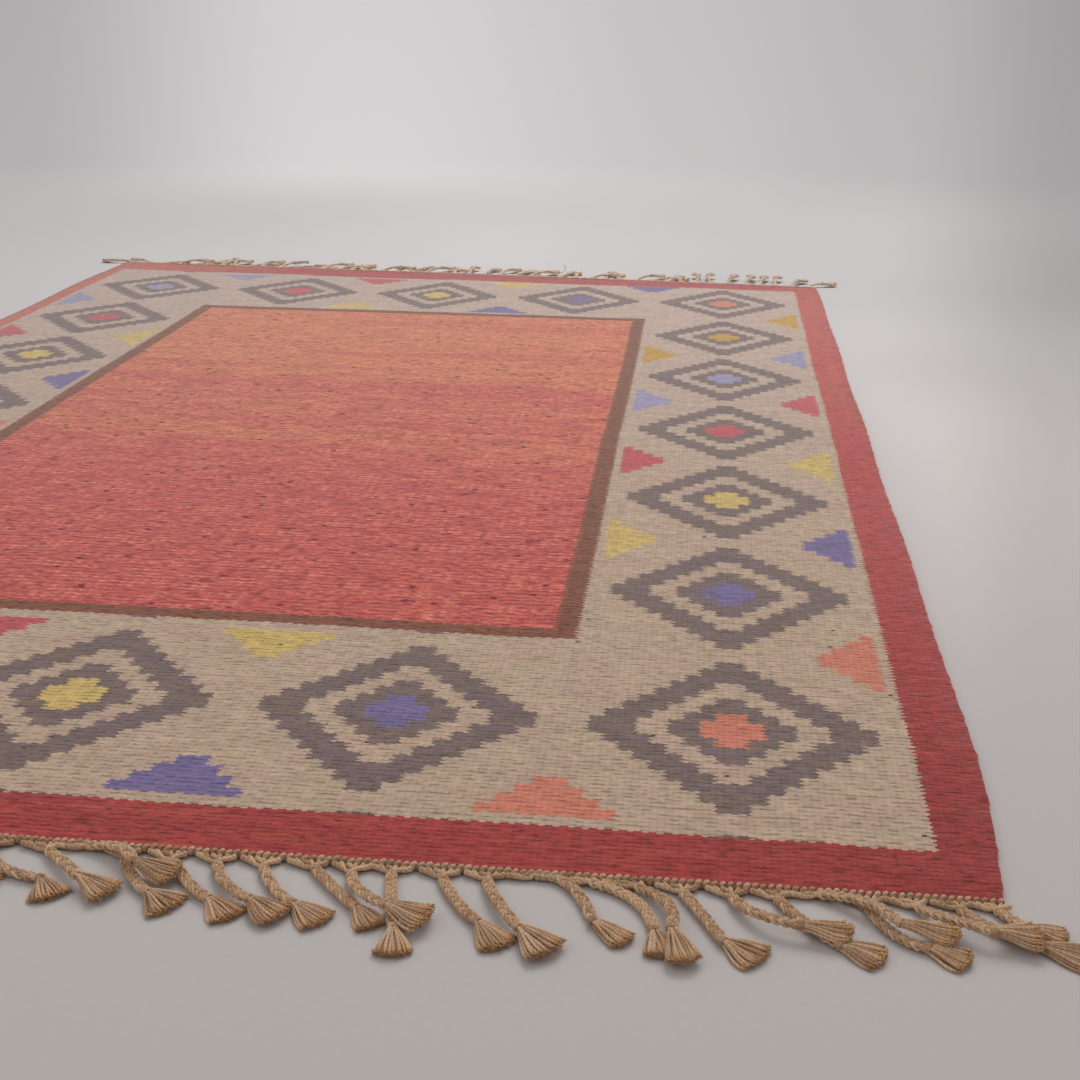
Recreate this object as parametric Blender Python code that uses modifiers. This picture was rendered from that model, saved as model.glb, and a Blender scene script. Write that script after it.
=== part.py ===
"""A flat-woven wool rug with a knotted and braided fringe at both ends.

The cloth is one flat sheet. Each fringe is a rope-like knotted edge that runs
along one end of the cloth, with a row of braided locks that lie on the floor
and open into tassels. X runs across the rug, Y along it, and Z is up. The
origin is the middle of the cloth's underside.
"""
import math
from collections import namedtuple

import bpy
import bmesh
from mathutils import Vector

MM = 0.001

# Cloth, in metres
HALF_WIDTH = 0.805
HALF_LENGTH = 1.250
THICKNESS = 0.004
COLUMNS = 24
ROWS = 36

# How far the corners are drawn in, and over what length of selvedge
FRONT_CORNER_PULL = 0.015
BACK_CORNER_PULL = 0.005
CORNER_REACH = 0.27
SELVEDGE_WAVE = 0.0012
SELVEDGE_WAVE_LENGTH = 0.52

# The back end runs a little askew and bows out in the middle
FRONT_CORNER_LIFT = 0.004
BACK_MIDDLE = 0.007
BACK_SKEW = 0.033
BACK_BOW = 0.010

# Low ripples near the edges, where the cloth is not quite flat
RIPPLE = 0.0018
RIPPLE_START = 0.72
RIPPLE_TURNS = 3.5

# Fringe
EDGE_GAP = 0.0006
EDGE_RADIUS = 0.0036
EDGE_STEPS = 44
LOCKS = 45
LOCK_PITCH = 0.0352

# One braided lock, from its root in the knotted edge to the tassel's end.
# along runs from 0 at the root to 1 at the tie, and on to 2 at the tassel's end.
Section = namedtuple("Section", "along width height floor")
LOCK_SECTIONS = (
    Section(0.00, 17.0, 3.0, 1.6),
    Section(0.17, 10.0, 7.0, 0.0),
    Section(0.45, 9.0, 7.5, 0.0),
    Section(0.75, 9.0, 7.5, 0.0),
    Section(0.96, 8.0, 7.0, 0.0),
    Section(1.10, 10.5, 8.5, 0.0),
    Section(1.50, 16.0, 7.0, 0.0),
    Section(2.00, 20.0, 4.5, 0.0),
)
TOP_SHARE = 0.62
# Nearer the root than this the lock turns to lie along the knotted edge
FREE_FROM = 0.17

# How each lock lies, in millimetres and degrees. drift is how far the tie lies
# to the right of the root, reach how far it lies out from the cloth, bow the
# braid's sideways bend, and turn the tassel's direction from straight out.
Lie = namedtuple("Lie", "drift reach bow turn tassel")
FRONT_LIES = (
    Lie(46, 54, 4, 44, 30),
    Lie(45, 56, 2, 46, 32),
    Lie(42, 58, 3, 42, 29),
    Lie(43, 56, 5, 45, 31),
    Lie(45, 59, 4, 47, 32),
    Lie(46, 60, 0, 44, 29),
    Lie(42, 59, 5, 41, 30),
    Lie(39, 61, 2, 38, 31),
    Lie(38, 62, 1, 40, 33),
    Lie(38, 62, 2, 42, 32),
    Lie(41, 59, -3, 40, 30),
    Lie(43, 60, -4, 39, 29),
    Lie(44, 57, -2, 43, 31),
)
BACK_LIES = (
    Lie(0, 62, 3, 4, 31),
    Lie(3, 58, -2, 8, 33),
    Lie(-2, 64, 2, -3, 30),
    Lie(2, 60, 4, 6, 32),
    Lie(-3, 61, -3, -6, 31),
)
# At the back the locks at both ends of the row lean outwards
BACK_SPREAD = 34

CLOTH_COLOUR = (0.52, 0.13, 0.11, 1.0)
CORD_COLOUR = (0.42, 0.30, 0.20, 1.0)


def clear_scene():
    for obj in list(bpy.data.objects):
        bpy.data.objects.remove(obj, do_unlink=True)


def new_collection(name):
    collection = bpy.data.collections.new(name)
    bpy.context.scene.collection.children.link(collection)
    return collection


def move_to(obj, collection):
    for old in list(obj.users_collection):
        old.objects.unlink(obj)
    collection.objects.link(obj)


def principled(name, colour, roughness):
    material = bpy.data.materials.new(name)
    material.use_nodes = True
    shader = material.node_tree.nodes["Principled BSDF"]
    shader.inputs["Base Color"].default_value = colour
    shader.inputs["Roughness"].default_value = roughness
    shader.inputs["Metallic"].default_value = 0.0
    return material


def corner_pull(distance, pull):
    """How far the selvedge is drawn in at a distance from a corner."""
    return pull * max(0.0, 1.0 - distance / CORNER_REACH) ** 2


def side_x(side, y):
    """The selvedge's x at y. side is -1 for the left and 1 for the right."""
    wave = SELVEDGE_WAVE * math.sin(math.tau * y / SELVEDGE_WAVE_LENGTH + side)
    from_front = y + HALF_LENGTH
    from_back = HALF_LENGTH - y
    drawn_in = corner_pull(from_front, FRONT_CORNER_PULL) + corner_pull(from_back, BACK_CORNER_PULL)
    return side * (HALF_WIDTH - SELVEDGE_WAVE - drawn_in) + wave


def front_y(x):
    return -HALF_LENGTH + FRONT_CORNER_LIFT * (x / HALF_WIDTH) ** 4


def back_y(x):
    share = x / HALF_WIDTH
    return HALF_LENGTH + BACK_MIDDLE - BACK_SKEW * share - BACK_BOW * share ** 2


def smooth_step(value):
    value = min(max(value, 0.0), 1.0)
    return value * value * (3.0 - 2.0 * value)


def ripple(across, along):
    """Height of the cloth's underside, from its place in the sheet, -1 to 1 each way."""
    near_side = smooth_step((abs(across) - RIPPLE_START) / (1.0 - RIPPLE_START))
    near_end = smooth_step((abs(along) - RIPPLE_START) / (1.0 - RIPPLE_START))
    side_wave = 0.5 + 0.5 * math.sin(math.pi * RIPPLE_TURNS * along + across)
    end_wave = 0.5 + 0.5 * math.sin(math.pi * RIPPLE_TURNS * across + along)
    return RIPPLE * max(near_side * side_wave, near_end * end_wave)


def cloth_point(across, along):
    """A point of the underside from its place in the sheet, -1 to 1 each way."""
    y = along * HALF_LENGTH
    x = 0.0
    for _ in range(3):
        left = side_x(-1, y)
        right = side_x(1, y)
        x = left + (right - left) * (across + 1.0) / 2.0
        y = front_y(x) + (back_y(x) - front_y(x)) * (along + 1.0) / 2.0
    return Vector((x, y, ripple(across, along)))


def make_cloth(collection):
    bpy.ops.mesh.primitive_grid_add(x_subdivisions=COLUMNS, y_subdivisions=ROWS, size=2.0)
    cloth = bpy.context.active_object
    cloth.name = "rug_cloth"
    for vertex in cloth.data.vertices:
        vertex.co = cloth_point(vertex.co.x, vertex.co.y)
    sheet = cloth.modifiers.new("Thickness", "SOLIDIFY")
    sheet.thickness = THICKNESS
    sheet.offset = 1.0
    cloth.data.materials.append(principled("Wool weave", CLOTH_COLOUR, 0.9))
    move_to(cloth, collection)


def edge_line(end):
    """The middle line of the knotted edge along one end, -1 for the front and 1 for the back."""
    end_y = front_y if end < 0 else back_y
    half = side_x(1, end * HALF_LENGTH) - EDGE_RADIUS
    out = end * (EDGE_GAP + EDGE_RADIUS)
    points = []
    for step in range(EDGE_STEPS + 1):
        x = half * (2.0 * step / EDGE_STEPS - 1.0)
        points.append(Vector((x, end_y(x) + out, EDGE_RADIUS)))
    return points


def rope_mesh(name, points):
    """A closed tube along the points, as mesh data."""
    curve = bpy.data.curves.new(name, "CURVE")
    curve.dimensions = "3D"
    curve.bevel_depth = EDGE_RADIUS
    curve.bevel_resolution = 2
    curve.use_fill_caps = True
    spline = curve.splines.new("POLY")
    spline.points.add(len(points) - 1)
    for place, point in zip(spline.points, points):
        place.co = (*point, 1.0)
    guide = bpy.data.objects.new(name, curve)
    bpy.context.scene.collection.objects.link(guide)
    graph = bpy.context.evaluated_depsgraph_get()
    mesh = bpy.data.meshes.new_from_object(guide.evaluated_get(graph))
    bpy.data.objects.remove(guide, do_unlink=True)
    joined = bmesh.new()
    joined.from_mesh(mesh)
    bmesh.ops.remove_doubles(joined, verts=joined.verts, dist=0.00001)
    joined.to_mesh(mesh)
    joined.free()
    return mesh


def lock_place(root, lie, end, along):
    """Point and direction on a lock's middle line, in plan."""
    drift = Vector((lie.drift * MM, end * lie.reach * MM))
    side = Vector((-drift.y, drift.x)).normalized()
    bend = root + drift / 2.0 - end * side * lie.bow * MM * 2.0
    tie = root + drift
    share = min(along, 1.0)
    point = (1 - share) ** 2 * root + 2 * share * (1 - share) * bend + share ** 2 * tie
    heading = (2 * (1 - share) * (bend - root) + 2 * share * (tie - bend)).normalized()
    if along < FREE_FROM:
        straight_out = Vector((0.0, end))
        heading = straight_out.lerp(heading, along / FREE_FROM).normalized()
    if along > 1.0:
        turn = math.radians(lie.turn)
        tassel = Vector((math.sin(turn), end * math.cos(turn)))
        point = point + tassel * (along - 1.0) * lie.tassel * MM
        heading = heading.lerp(tassel, min(1.0, (along - 1.0) * 2.0)).normalized()
    return point, heading


def add_lock(build, root, lie, end):
    """A four-sided lock, lofted through its sections and level on the floor."""
    rings = []
    for section in LOCK_SECTIONS:
        point, heading = lock_place(root, lie, end, section.along)
        across = Vector((heading.y, -heading.x)) * section.width * MM / 2.0
        low = section.floor * MM
        high = low + section.height * MM
        corners = ((-1.0, low), (1.0, low), (TOP_SHARE, high), (-TOP_SHARE, high))
        ring = []
        for share, z in corners:
            ring.append(build.verts.new((*(point + across * share), z)))
        rings.append(ring)
    for ring, following in zip(rings, rings[1:]):
        for i in range(4):
            j = (i + 1) % 4
            build.faces.new((ring[i], ring[j], following[j], following[i]))
    build.faces.new(rings[0])
    build.faces.new(list(reversed(rings[-1])))


def back_lie(index):
    """A back lock's lie: the spread along the row and the table's own variation."""
    lie = BACK_LIES[index % len(BACK_LIES)]
    share = 2.0 * index / (LOCKS - 1) - 1.0
    spread = BACK_SPREAD * share ** 3
    return lie._replace(drift=lie.drift + spread, turn=lie.turn + spread)


def make_fringe(name, end, material, collection, cutters):
    end_y = front_y if end < 0 else back_y
    build = bmesh.new()
    for index in range(LOCKS):
        x = (index - (LOCKS - 1) / 2.0) * LOCK_PITCH
        root = Vector((x, end_y(x) + end * (EDGE_GAP + EDGE_RADIUS)))
        lie = FRONT_LIES[index % len(FRONT_LIES)] if end < 0 else back_lie(index)
        add_lock(build, root, lie, end)
    bmesh.ops.recalc_face_normals(build, faces=build.faces)
    locks_mesh = bpy.data.meshes.new(name + "_locks")
    build.to_mesh(locks_mesh)
    build.free()
    locks = bpy.data.objects.new(name + "_locks", locks_mesh)
    locks.hide_render = True
    locks.display_type = "WIRE"
    cutters.objects.link(locks)

    fringe = bpy.data.objects.new(name, rope_mesh(name, edge_line(end)))
    join = fringe.modifiers.new("Locks", "BOOLEAN")
    join.operation = "UNION"
    join.solver = "EXACT"
    join.object = locks
    fringe.data.materials.append(material)
    collection.objects.link(fringe)


def main():
    clear_scene()
    rug = new_collection("Flatweave rug")
    cutters = new_collection("Cutters")
    make_cloth(rug)
    for name, end in (("fringe_front", -1), ("fringe_back", 1)):
        material = principled("Warp cord " + name, CORD_COLOUR, 0.95)
        make_fringe(name, end, material, rug, cutters)


main()
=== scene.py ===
"""The flatweave rug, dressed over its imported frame.

The cloth is one thin closed sheet whose weave, colours and pattern come from
one procedural material. The fringe is modelled cord by cord: slanted knots
along each end, six cords to a lock that plait into a braid, a tie round its
neck and a tassel of loose plies. X runs across the rug, Y along it, Z is up.
"""
import math

import bpy
import numpy as np
from mathutils import Matrix, Vector


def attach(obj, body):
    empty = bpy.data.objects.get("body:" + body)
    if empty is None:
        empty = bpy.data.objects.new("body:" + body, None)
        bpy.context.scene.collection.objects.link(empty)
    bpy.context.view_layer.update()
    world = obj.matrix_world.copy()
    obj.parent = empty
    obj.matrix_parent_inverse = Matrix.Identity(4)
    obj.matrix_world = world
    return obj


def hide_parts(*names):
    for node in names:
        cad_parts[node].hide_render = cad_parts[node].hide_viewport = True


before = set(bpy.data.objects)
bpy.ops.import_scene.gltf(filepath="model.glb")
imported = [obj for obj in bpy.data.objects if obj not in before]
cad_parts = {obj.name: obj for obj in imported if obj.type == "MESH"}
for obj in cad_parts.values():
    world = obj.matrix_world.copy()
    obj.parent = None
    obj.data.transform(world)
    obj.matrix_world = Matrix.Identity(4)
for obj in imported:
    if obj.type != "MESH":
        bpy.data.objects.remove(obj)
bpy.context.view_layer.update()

MM = 0.001
TURN = math.tau

# The cloth's outline, as in the part's source, in metres
HALF_WIDTH = 0.805
HALF_LENGTH = 1.250
THICKNESS = 0.004
FRONT_CORNER_PULL = 0.015
BACK_CORNER_PULL = 0.005
CORNER_REACH = 0.27
SELVEDGE_WAVE = 0.0012
SELVEDGE_WAVE_LENGTH = 0.52
FRONT_CORNER_LIFT = 0.004
BACK_MIDDLE = 0.007
BACK_SKEW = 0.033
BACK_BOW = 0.010
RIPPLE = 0.0018
RIPPLE_START = 0.72
RIPPLE_TURNS = 3.5

# The sheet's mesh
SHEET_COLUMNS = 56
SHEET_ROWS = 400
ROUND_STEPS = 5
RELIEF = 0.00025
SELVEDGE_BUMPS = 0.0009

# The weave: one rib over each warp, six to a lock of the fringe, and picks of weft
RIB = 0.0352 / 6
PICK = 0.0017
# How many picks one beaten row takes up, in the pale band, the red border and the field
BEIGE_ROW = 3.8
RED_ROW = 3.5
FIELD_ROW = 5.7
# How orange the field is, from its front end to its back: y and share
FIELD_WARMTH = (
    (-0.80, 0.04), (-0.48, 0.05), (-0.33, 0.10), (-0.24, 0.26), (-0.16, 0.38), (-0.11, 0.62),
    (-0.03, 0.42), (0.06, 0.42), (0.12, 0.58), (0.16, 0.30), (0.20, 0.34), (0.225, 0.66),
    (0.30, 0.88), (0.45, 0.86), (0.58, 1.0), (0.80, 1.0),
)
# Short dark dashes of weft in the field: length, height, and the chance of none
DASH = 0.0085
DASH_HEIGHT = 3.0 * PICK
DASH_RARITY = 0.990
# Dark fibres: the chance of none on a bead of weft, and half their length in ribs
FIBRE_RARITY = 0.9993
FIBRE_HALF = 0.34

# The pattern, in metres from its own middle, which lies at PATTERN_X. The pale band
# runs inside the red border, and the brown frame parts it from the field.
PATTERN_X = -0.010
BAND_OUT_X = 0.759
BAND_FRONT_Y = -1.180
BAND_BACK_Y = 1.175
BAND_BACK_SKEW = 0.020
FRAME_X = 0.4505
FRAME_FRONT_Y = -0.807
FRAME_BACK_Y = 0.8147
FRAME_LINE = 0.0242
# The lozenges' spacing, and the size of one step of a motif
LOZENGE_X = 0.302
LOZENGE_Y = 0.3315
STEP_X = 0.0142
STEP_Y = 0.0165
# In steps from a motif's middle: where a lozenge's heart ends, then its inner ring,
# where its outer ring starts and ends, and where a triangle ends
HEART_END = 1.5
INNER_RING_END = 3.5
OUTER_RING = (5.5, 8.5)
TRIANGLE_END = 3.5
# How far the wools reach into each other where two colours join
JOIN_TOOTH = 0.0026

# The camera, from the straight lines of the weaving in the photograph
CAMERA_PLACE = (0.550, -2.2424, 0.6225)
CAMERA_DOWN = 19.613
CAMERA_YAW = -5.886
CAMERA_ROLL = 0.674
CAMERA_LENS = 51.667
SENSOR = 36.0


def corner_pull(distance, pull):
    return pull * np.maximum(0.0, 1.0 - distance / CORNER_REACH) ** 2


def side_x(side, y):
    """The selvedge's x at y. side is -1 for the left and 1 for the right."""
    wave = SELVEDGE_WAVE * np.sin(TURN * y / SELVEDGE_WAVE_LENGTH + side)
    drawn_in = corner_pull(y + HALF_LENGTH, FRONT_CORNER_PULL)
    drawn_in = drawn_in + corner_pull(HALF_LENGTH - y, BACK_CORNER_PULL)
    return side * (HALF_WIDTH - SELVEDGE_WAVE - drawn_in) + wave


def front_y(x):
    return -HALF_LENGTH + FRONT_CORNER_LIFT * (x / HALF_WIDTH) ** 4


def back_y(x):
    share = x / HALF_WIDTH
    return HALF_LENGTH + BACK_MIDDLE - BACK_SKEW * share - BACK_BOW * share ** 2


def end_y(end, x):
    return front_y(x) if end < 0 else back_y(x)


def smooth(value):
    value = np.clip(value, 0.0, 1.0)
    return value * value * (3.0 - 2.0 * value)


def ripple(across, along):
    """Height of the cloth's underside, from its place in the sheet, -1 to 1 each way."""
    near_side = smooth((np.abs(across) - RIPPLE_START) / (1.0 - RIPPLE_START))
    near_end = smooth((np.abs(along) - RIPPLE_START) / (1.0 - RIPPLE_START))
    side_wave = 0.5 + 0.5 * np.sin(math.pi * RIPPLE_TURNS * along + across)
    end_wave = 0.5 + 0.5 * np.sin(math.pi * RIPPLE_TURNS * across + along)
    return RIPPLE * np.maximum(near_side * side_wave, near_end * end_wave)


def make_camera():
    down = math.radians(CAMERA_DOWN)
    yaw = math.radians(CAMERA_YAW)
    roll = math.radians(CAMERA_ROLL)
    level = Vector((math.sin(yaw), math.cos(yaw), 0.0))
    right = Vector((math.cos(yaw), -math.sin(yaw), 0.0))
    forward = level * math.cos(down) + Vector((0.0, 0.0, -math.sin(down)))
    up = level * math.sin(down) + Vector((0.0, 0.0, math.cos(down)))
    rolled_right = right * math.cos(roll) + up * math.sin(roll)
    rolled_up = up * math.cos(roll) - right * math.sin(roll)
    data = bpy.data.cameras.new("camera")
    data.lens = CAMERA_LENS
    data.sensor_width = SENSOR
    data.clip_start = 0.05
    data.clip_end = 200.0
    camera = bpy.data.objects.new("camera", data)
    bpy.context.scene.collection.objects.link(camera)
    turned = Matrix((rolled_right, rolled_up, -forward)).transposed()
    camera.matrix_world = Matrix.Translation(CAMERA_PLACE) @ turned.to_4x4()
    bpy.context.scene.camera = camera


# Node trees

class Term:
    """A number in a node tree. Arithmetic with it adds Math nodes."""

    def __init__(self, graph, socket):
        self.graph = graph
        self.socket = socket

    def __add__(self, other):
        return self.graph.math("ADD", self, other)

    def __sub__(self, other):
        return self.graph.math("SUBTRACT", self, other)

    def __mul__(self, other):
        return self.graph.math("MULTIPLY", self, other)

    def __truediv__(self, other):
        return self.graph.math("DIVIDE", self, other)

    def __gt__(self, other):
        return self.graph.math("GREATER_THAN", self, other)

    def __lt__(self, other):
        return self.graph.math("LESS_THAN", self, other)

    def __radd__(self, other):
        return self.graph.math("ADD", other, self)

    def __rsub__(self, other):
        return self.graph.math("SUBTRACT", other, self)


class Graph:
    """A material's node tree, written as formulas."""

    def __init__(self, name):
        self.material = bpy.data.materials.new(name)
        self.material.use_nodes = True
        self.tree = self.material.node_tree
        self.shader = self.tree.nodes["Principled BSDF"]

    def put(self, node, place, value):
        """Link a value to a node's input, or set it there if it is a plain number."""
        if isinstance(value, Term):
            self.tree.links.new(value.socket, node.inputs[place])
        elif isinstance(value, bpy.types.NodeSocket):
            self.tree.links.new(value, node.inputs[place])
        else:
            node.inputs[place].default_value = value

    def math(self, operation, *values):
        node = self.tree.nodes.new("ShaderNodeMath")
        node.operation = operation
        for place, value in enumerate(values):
            self.put(node, place, value)
        return Term(self, node.outputs[0])

    def floor(self, value):
        return self.math("FLOOR", value)

    def part(self, value):
        return self.math("FRACT", value)

    def size(self, value):
        return self.math("ABSOLUTE", value)

    def lower(self, one, other):
        return self.math("MINIMUM", one, other)

    def higher(self, one, other):
        return self.math("MAXIMUM", one, other)

    def cycle(self, value, length):
        """value folded into 0 to length, for negative numbers too."""
        return self.math("FLOORED_MODULO", value, length)

    def rise(self, value, low, high):
        """0 below low, 1 above high, and smooth between them."""
        node = self.tree.nodes.new("ShaderNodeMapRange")
        node.interpolation_type = "SMOOTHSTEP"
        self.put(node, "Value", value)
        node.inputs["From Min"].default_value = low
        node.inputs["From Max"].default_value = high
        return Term(self, node.outputs["Result"])

    def chart(self, value, marks):
        """Straight lines between the marks, each a value and its result from 0 to 1."""
        first = marks[0][0]
        reach = marks[-1][0] - first
        node = self.tree.nodes.new("ShaderNodeValToRGB")
        stops = node.color_ramp.elements
        stops.remove(stops[1])
        for place, (at, result) in enumerate(marks):
            stop = stops[0] if place == 0 else stops.new((at - first) / reach)
            stop.color = (result, result, result, 1.0)
        self.put(node, "Fac", (value - first) / reach)
        return Term(self, node.outputs["Color"])

    def joined(self, x, y):
        node = self.tree.nodes.new("ShaderNodeCombineXYZ")
        self.put(node, 0, x)
        self.put(node, 1, y)
        return node.outputs[0]

    def split(self, vector):
        node = self.tree.nodes.new("ShaderNodeSeparateXYZ")
        self.tree.links.new(vector, node.inputs[0])
        return tuple(Term(self, socket) for socket in node.outputs)

    def object_place(self):
        return self.tree.nodes.new("ShaderNodeTexCoord").outputs["Object"]

    def attribute(self, name):
        node = self.tree.nodes.new("ShaderNodeAttribute")
        node.attribute_name = name
        return node

    def noise(self, vector, scale, detail):
        """Noise in space, with a middle of one half."""
        node = self.tree.nodes.new("ShaderNodeTexNoise")
        self.tree.links.new(vector, node.inputs["Vector"])
        node.inputs["Scale"].default_value = scale
        node.inputs["Detail"].default_value = detail
        return Term(self, node.outputs["Fac"])

    def noise_flat(self, x, y, detail=0.0, rough=0.5):
        """Two-dimensional noise, with a middle of one half."""
        node = self.tree.nodes.new("ShaderNodeTexNoise")
        node.noise_dimensions = "2D"
        self.tree.links.new(self.joined(x, y), node.inputs["Vector"])
        node.inputs["Scale"].default_value = 1.0
        node.inputs["Detail"].default_value = detail
        node.inputs["Roughness"].default_value = rough
        return Term(self, node.outputs["Fac"])

    def chance(self, x, y):
        """A number from 0 to 1 for each pair of whole numbers."""
        node = self.tree.nodes.new("ShaderNodeTexWhiteNoise")
        node.noise_dimensions = "2D"
        self.tree.links.new(self.joined(x, y), node.inputs["Vector"])
        return Term(self, node.outputs["Value"])

    def blend(self, share, one, other):
        """Colour one where share is 0, and other where it is 1."""
        node = self.tree.nodes.new("ShaderNodeMix")
        node.data_type = "RGBA"
        self.put(node, 0, share)
        self.put(node, 6, one)
        self.put(node, 7, other)
        return node.outputs[2]

    def scaled(self, colour, share):
        """colour times a number."""
        node = self.tree.nodes.new("ShaderNodeVectorMath")
        node.operation = "SCALE"
        self.tree.links.new(colour, node.inputs[0])
        self.put(node, 3, share)
        return node.outputs[0]

    def bump(self, height, strength):
        """Relief in the shading. height is in metres."""
        node = self.tree.nodes.new("ShaderNodeBump")
        node.inputs["Strength"].default_value = strength
        node.inputs["Distance"].default_value = 1.0
        self.put(node, "Height", height)
        self.tree.links.new(node.outputs["Normal"], self.shader.inputs["Normal"])

    def surface(self, colour, **settings):
        """The finished material. settings are the shader's sockets, with _ for a space."""
        self.put(self.shader, "Base Color", colour)
        for name, value in settings.items():
            self.shader.inputs[name.replace("_", " ")].default_value = value
        return self.material


# Wool colours, as linear albedo
RED = (0.445, 0.067, 0.062, 1.0)
BEIGE = (0.575, 0.418, 0.308, 1.0)
BEIGE_ROSY = (0.585, 0.383, 0.292, 1.0)
BEIGE_STRAW = (0.575, 0.440, 0.288, 1.0)
BEIGE_PAINTED_LIGHT = (0.59, 0.442, 0.372, 1.0)
GREY = (0.240, 0.168, 0.142, 1.0)
GREY_MAUVE = (0.228, 0.158, 0.158, 1.0)
BROWN = (0.30, 0.108, 0.060, 1.0)
BROWN_DARK = (0.16, 0.050, 0.026, 1.0)
FIELD_ROSE = (0.63, 0.108, 0.093, 1.0)
FIELD_ORANGE = (0.71, 0.216, 0.103, 1.0)
FIELD_LIGHT = (0.84, 0.37, 0.235, 1.0)
FIELD_DARK = (0.34, 0.028, 0.028, 1.0)
FIELD_DEEP = (0.15, 0.012, 0.014, 1.0)
RED_DARK = (0.30, 0.028, 0.026, 1.0)
RED_WARM = (0.47, 0.082, 0.066, 1.0)
RED_CORAL = (0.58, 0.150, 0.085, 1.0)
OCHRE = (0.60, 0.345, 0.060, 1.0)
YELLOW = (0.70, 0.500, 0.170, 1.0)
ROSE = (0.60, 0.110, 0.115, 1.0)
CORAL = (0.70, 0.240, 0.160, 1.0)
VIOLET = (0.225, 0.175, 0.350, 1.0)
LILAC = (0.37, 0.335, 0.500, 1.0)
DARK_FIBRE = (0.12, 0.065, 0.05, 1.0)


def stepped(g, across, along):
    """How many pattern steps a place lies from a motif's middle lines."""
    return g.floor(across / STEP_X) + g.floor(along / STEP_Y)


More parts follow.
